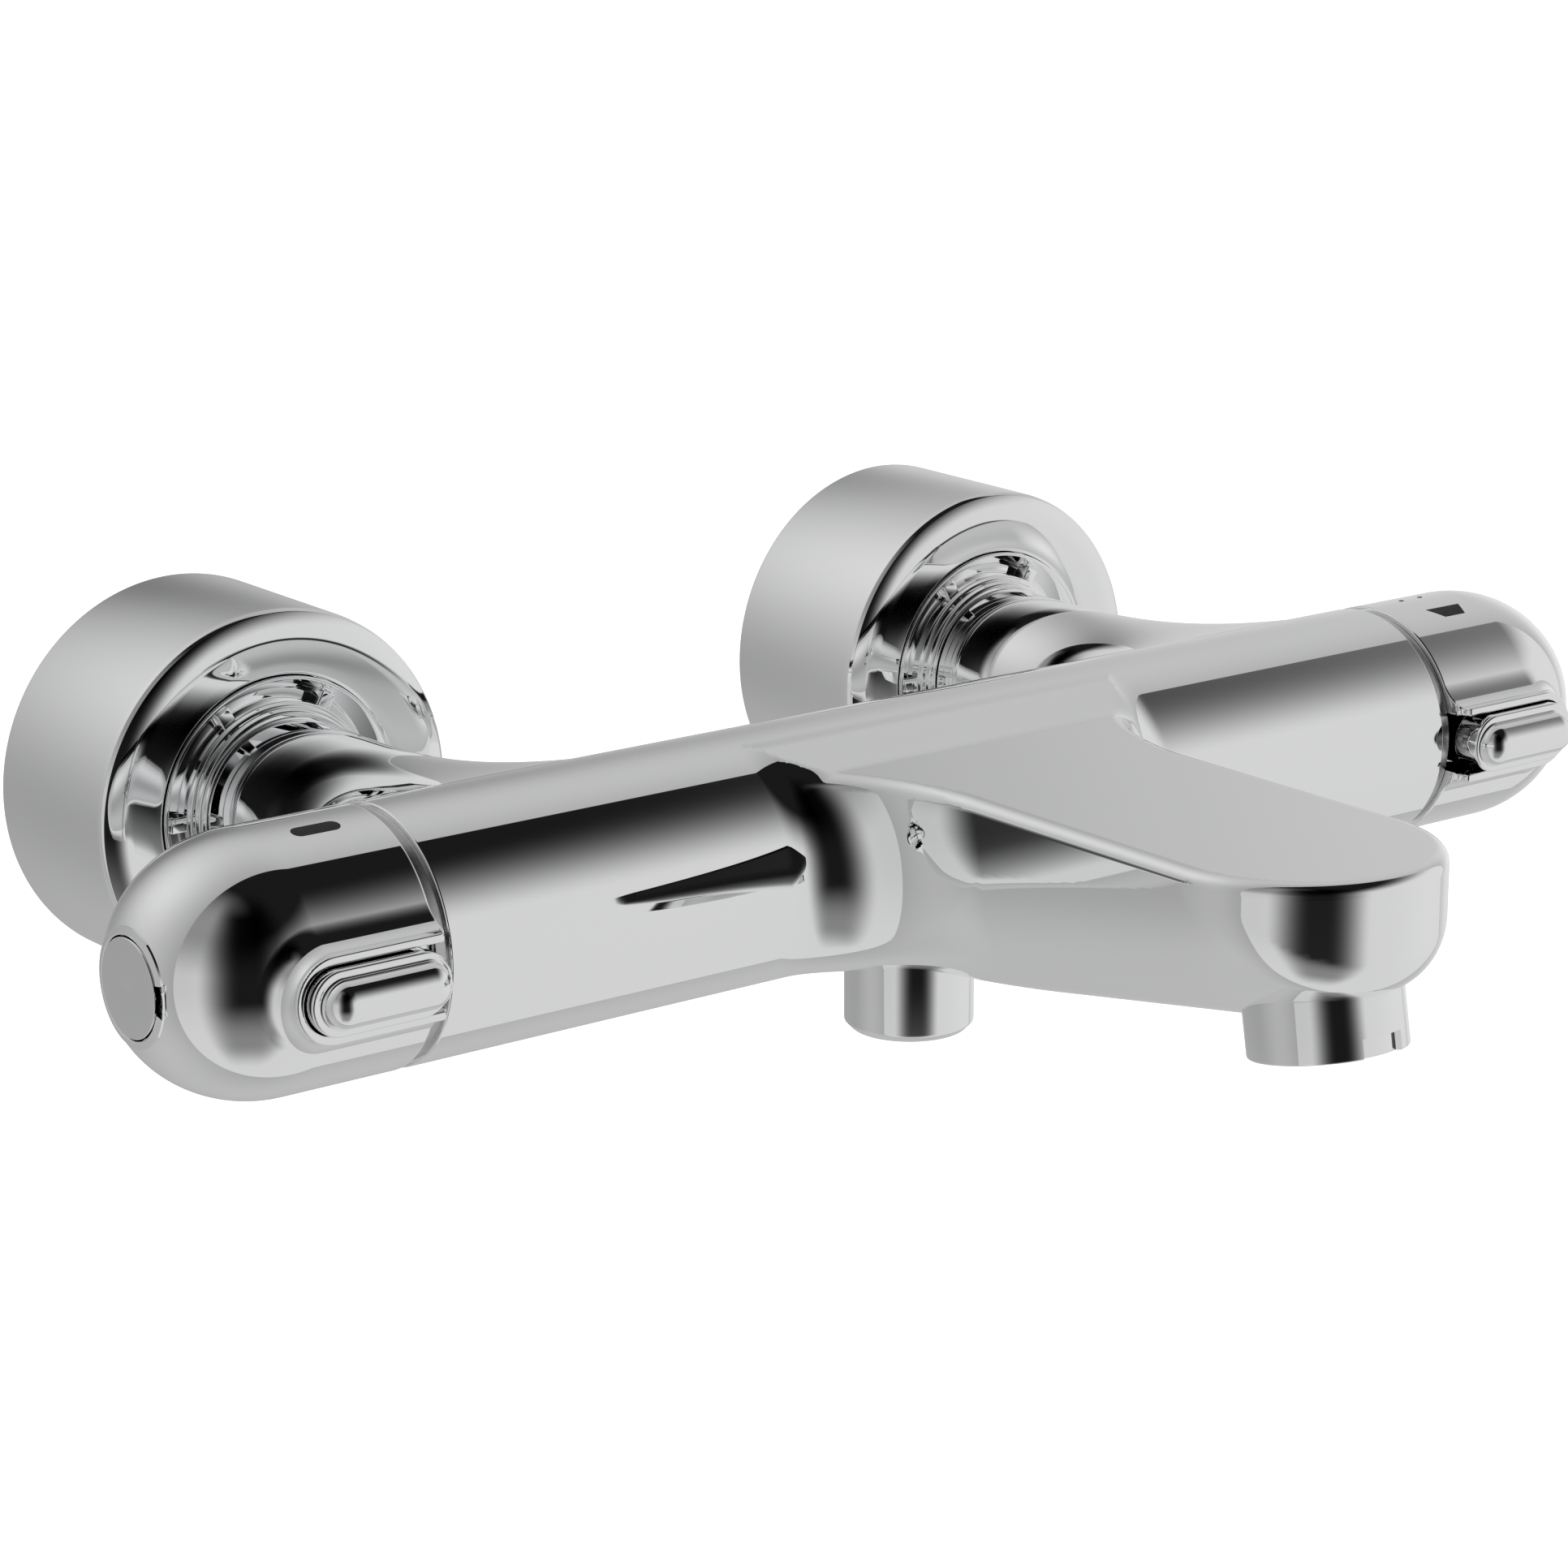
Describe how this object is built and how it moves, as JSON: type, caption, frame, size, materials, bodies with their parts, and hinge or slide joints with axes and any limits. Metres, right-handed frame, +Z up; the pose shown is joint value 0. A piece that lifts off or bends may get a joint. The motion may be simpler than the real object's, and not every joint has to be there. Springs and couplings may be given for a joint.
{
  "type": "wall mounted bath faucet",
  "caption": "Wall mounted thermostatic bath mixer: round bar body, flat topped spout, hose outlet below, domed end handles with stop buttons and deep wall roses.",
  "frame": {"origin": "on the wall plane, midway between the two inlet axes", "axes": "+X to the right when facing the wall, +Y into the wall, +Z up"},
  "size_m": [0.284, 0.2247, 0.0668],
  "materials": {
    "polished_chrome": "mirror polished chrome plate",
    "mark_black": "black ink fill",
    "raw_brass": "turned brass",
    "valve_plastic": "white acetal",
    "aerator_plastic": "grey acetal",
    "seal_rubber": "matt",
    "spring_steel": "drawn stainless wire",
    "valve_ceramic": "lapped alumina"
  },
  "bodies": {
    "mixer": {"aerator_housing": "polished_chrome", "aerator_insert": "aerator_plastic", "aerator_seal": "seal_rubber", "cold_check_spring": "spring_steel", "cold_check_valve": "valve_plastic", "diverter_housing": "valve_plastic", "fixed_ceramic_disc": "valve_ceramic", "hose_outlet": "polished_chrome", "hot_check_spring": "spring_steel", "hot_check_valve": "valve_plastic", "left_cartridge_o_rings": "seal_rubber", "left_glide_ring": "polished_chrome", "left_inlet_nipple": "raw_brass", "left_retaining_nut": "raw_brass", "left_s_union": "raw_brass", "left_sieve_washer": "seal_rubber", "left_stop_ring": "valve_plastic", "left_union_nut": "polished_chrome", "left_wall_rose": "polished_chrome", "mixer_body": "polished_chrome", "outlet_check_spring": "spring_steel", "outlet_check_valve": "valve_plastic", "right_cartridge_o_rings": "seal_rubber", "right_glide_ring": "polished_chrome", "right_inlet_nipple": "raw_brass", "right_retaining_nut": "raw_brass", "right_s_union": "raw_brass", "right_sieve_washer": "seal_rubber", "right_stop_ring": "valve_plastic", "right_union_nut": "polished_chrome", "right_wall_rose": "polished_chrome", "thermostat_housing": "valve_plastic", "thermostat_spring": "spring_steel"},
    "temperature_handle": {"temperature_handle": "polished_chrome", "temperature_spindle": "raw_brass", "temperature_handle_screw": "spring_steel", "temperature_end_cap": "polished_chrome", "temperature_mark": "mark_black", "temperature_button_spring": "spring_steel"},
    "temperature_button": {"temperature_stop_button": "polished_chrome"},
    "volume_handle": {"volume_handle": "polished_chrome", "volume_spindle": "raw_brass", "turning_ceramic_disc": "valve_ceramic", "volume_handle_screw": "spring_steel", "volume_end_cap": "polished_chrome", "volume_mark": "mark_black", "volume_button_spring": "spring_steel"},
    "volume_button": {"volume_stop_button": "polished_chrome"},
    "thermostat_piston": {"regulating_piston": "valve_plastic", "wax_element": "raw_brass"},
    "hot_poppet": {"hot_check_poppet": "valve_plastic"},
    "cold_poppet": {"cold_check_poppet": "valve_plastic"},
    "outlet_poppet": {"outlet_check_poppet": "valve_plastic"}
  },
  "joints": [
    {"name": "temperature_turn", "type": "hinge", "parent": "mixer", "child": "temperature_handle", "pos_m": [0.1, -0.1013, 0], "axis": [1, 0, 0], "range_deg": [-140, 50]},
    {"name": "volume_turn", "type": "hinge", "parent": "mixer", "child": "volume_handle", "pos_m": [-0.1, -0.1013, 0], "axis": [1, 0, 0], "range_deg": [-90, 90]},
    {"name": "temperature_button_press", "type": "slide", "parent": "temperature_handle", "child": "temperature_button", "axis": [0, 1, 0], "range_m": [0, 0.0015], "stiffness_N_per_m": 800, "springref_m": -0.001, "deforming": ["temperature_button_spring"]},
    {"name": "volume_button_press", "type": "slide", "parent": "volume_handle", "child": "volume_button", "axis": [0, 1, 0], "range_m": [0, 0.0015], "stiffness_N_per_m": 800, "springref_m": -0.001, "deforming": ["volume_button_spring"]},
    {"name": "piston_slide", "type": "slide", "parent": "mixer", "child": "thermostat_piston", "axis": [1, 0, 0], "range_m": [-0.0006, 0.00025], "deforming": ["thermostat_spring"]},
    {"name": "hot_poppet_lift", "type": "slide", "parent": "mixer", "child": "hot_poppet", "axis": [0, -1, 0], "range_m": [0, 0.0025], "stiffness_N_per_m": 150, "springref_m": -0.001, "deforming": ["hot_check_spring"]},
    {"name": "cold_poppet_lift", "type": "slide", "parent": "mixer", "child": "cold_poppet", "axis": [0, -1, 0], "range_m": [0, 0.0025], "stiffness_N_per_m": 150, "springref_m": -0.001, "deforming": ["cold_check_spring"]},
    {"name": "outlet_poppet_lift", "type": "slide", "parent": "mixer", "child": "outlet_poppet", "axis": [0, 0, -1], "range_m": [0, 0.0025], "stiffness_N_per_m": 150, "springref_m": -0.001, "deforming": ["outlet_check_spring"]}
  ],
  "couplings": [
    {"joint": "piston_slide", "follows": "temperature_turn", "m_per_rad": 0.00023873}
  ]
}
